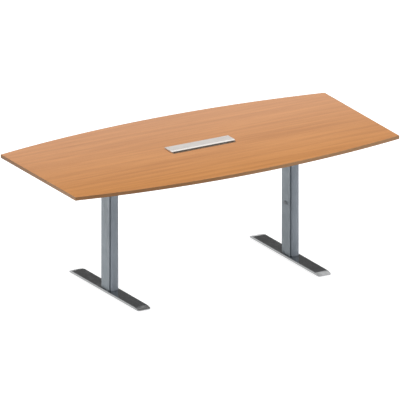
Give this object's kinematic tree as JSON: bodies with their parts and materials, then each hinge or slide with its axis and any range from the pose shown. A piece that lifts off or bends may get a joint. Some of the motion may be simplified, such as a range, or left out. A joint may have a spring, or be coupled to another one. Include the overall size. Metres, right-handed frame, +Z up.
{
  "type": "conference table",
  "caption": "Boat-shaped conference table: beech-decor top with bowed long sides and a lidded cable port, on column legs with long flat chrome feet and levelling glides.",
  "frame": {"origin": "on the floor, under the middle of the top", "axes": "+X along the table's length, +Y towards the long side with the lid's hinge, +Z up"},
  "size_m": [2, 1, 0.7384],
  "materials": {
    "beech_decor": "matt beech decor, grain along the table",
    "beech_edge": "plastic edge band in darker beech",
    "aluminium": "satin anodised",
    "silver_paint": "fine textured silver powder coat",
    "cover_plastic": "silver-grey matt extrusion",
    "grey_plastic": "matt moulded",
    "black_plastic": "matt moulded",
    "chrome": "polished",
    "zinc_steel": "zinc plated"
  },
  "bodies": {
    "table": {"table_top": "beech_decor", "port_frame": "black_plastic", "cable_tray": "silver_paint", "edge_band_front": "beech_edge", "edge_band_rear": "beech_edge", "edge_band_left": "beech_edge", "edge_band_right": "beech_edge", "lid_pin_left": "zinc_steel", "bearer_left": "silver_paint", "column_left": "silver_paint", "column_plug_left": "grey_plastic", "foot_left": "chrome", "top_screw_left_1": "zinc_steel", "top_screw_left_2": "zinc_steel", "top_screw_left_3": "zinc_steel", "top_screw_left_4": "zinc_steel", "lid_pin_right": "zinc_steel", "bearer_right": "silver_paint", "column_right": "silver_paint", "column_plug_right": "grey_plastic", "foot_right": "chrome", "top_screw_right_1": "zinc_steel", "top_screw_right_2": "zinc_steel", "top_screw_right_3": "zinc_steel", "top_screw_right_4": "zinc_steel", "rail_front": "silver_paint", "rail_bolt_front_left": "zinc_steel", "rail_bolt_front_right": "zinc_steel", "rail_rear": "silver_paint", "rail_bolt_rear_left": "zinc_steel", "rail_bolt_rear_right": "zinc_steel", "tray_screw_left_front": "zinc_steel", "bearer_cap_left_front": "grey_plastic", "head_bolt_left_front": "zinc_steel", "foot_bolt_left_front": "zinc_steel", "tray_screw_left_rear": "zinc_steel", "bearer_cap_left_rear": "grey_plastic", "head_bolt_left_rear": "zinc_steel", "foot_bolt_left_rear": "zinc_steel", "tray_screw_right_front": "zinc_steel", "bearer_cap_right_front": "grey_plastic", "head_bolt_right_front": "zinc_steel", "foot_bolt_right_front": "zinc_steel", "tray_screw_right_rear": "zinc_steel", "bearer_cap_right_rear": "grey_plastic", "head_bolt_right_rear": "zinc_steel", "foot_bolt_right_rear": "zinc_steel"},
    "lid": {"port_lid": "aluminium", "lid_end_cap_left": "aluminium", "lid_end_cap_right": "aluminium"},
    "cover_left_front": {"column_cover_left_front": "cover_plastic"},
    "glide_left_front": {"glide_left_front": "black_plastic"},
    "cover_left_rear": {"column_cover_left_rear": "cover_plastic"},
    "glide_left_rear": {"glide_left_rear": "black_plastic"},
    "cover_right_front": {"column_cover_right_front": "cover_plastic"},
    "glide_right_front": {"glide_right_front": "black_plastic"},
    "cover_right_rear": {"column_cover_right_rear": "cover_plastic"},
    "glide_right_rear": {"glide_right_rear": "black_plastic"}
  },
  "joints": [
    {"name": "lid_hinge", "type": "hinge", "parent": "table", "child": "lid", "pos_m": [0, 0.0402, 0.7338], "axis": [-1, 0, 0], "range_deg": [0, 95]},
    {"name": "cover_left_front_pull", "type": "slide", "parent": "table", "child": "cover_left_front", "axis": [0, -1, 0], "range_m": [0, 0.04]},
    {"name": "glide_left_front_screw", "type": "slide", "parent": "table", "child": "glide_left_front", "axis": [0, 0, 1], "range_m": [-0.006, 0]},
    {"name": "cover_left_rear_pull", "type": "slide", "parent": "table", "child": "cover_left_rear", "axis": [0, 1, 0], "range_m": [0, 0.04]},
    {"name": "glide_left_rear_screw", "type": "slide", "parent": "table", "child": "glide_left_rear", "axis": [0, 0, 1], "range_m": [-0.006, 0]},
    {"name": "cover_right_front_pull", "type": "slide", "parent": "table", "child": "cover_right_front", "axis": [0, -1, 0], "range_m": [0, 0.04]},
    {"name": "glide_right_front_screw", "type": "slide", "parent": "table", "child": "glide_right_front", "axis": [0, 0, 1], "range_m": [-0.006, 0]},
    {"name": "cover_right_rear_pull", "type": "slide", "parent": "table", "child": "cover_right_rear", "axis": [0, 1, 0], "range_m": [0, 0.04]},
    {"name": "glide_right_rear_screw", "type": "slide", "parent": "table", "child": "glide_right_rear", "axis": [0, 0, 1], "range_m": [-0.006, 0]}
  ]
}
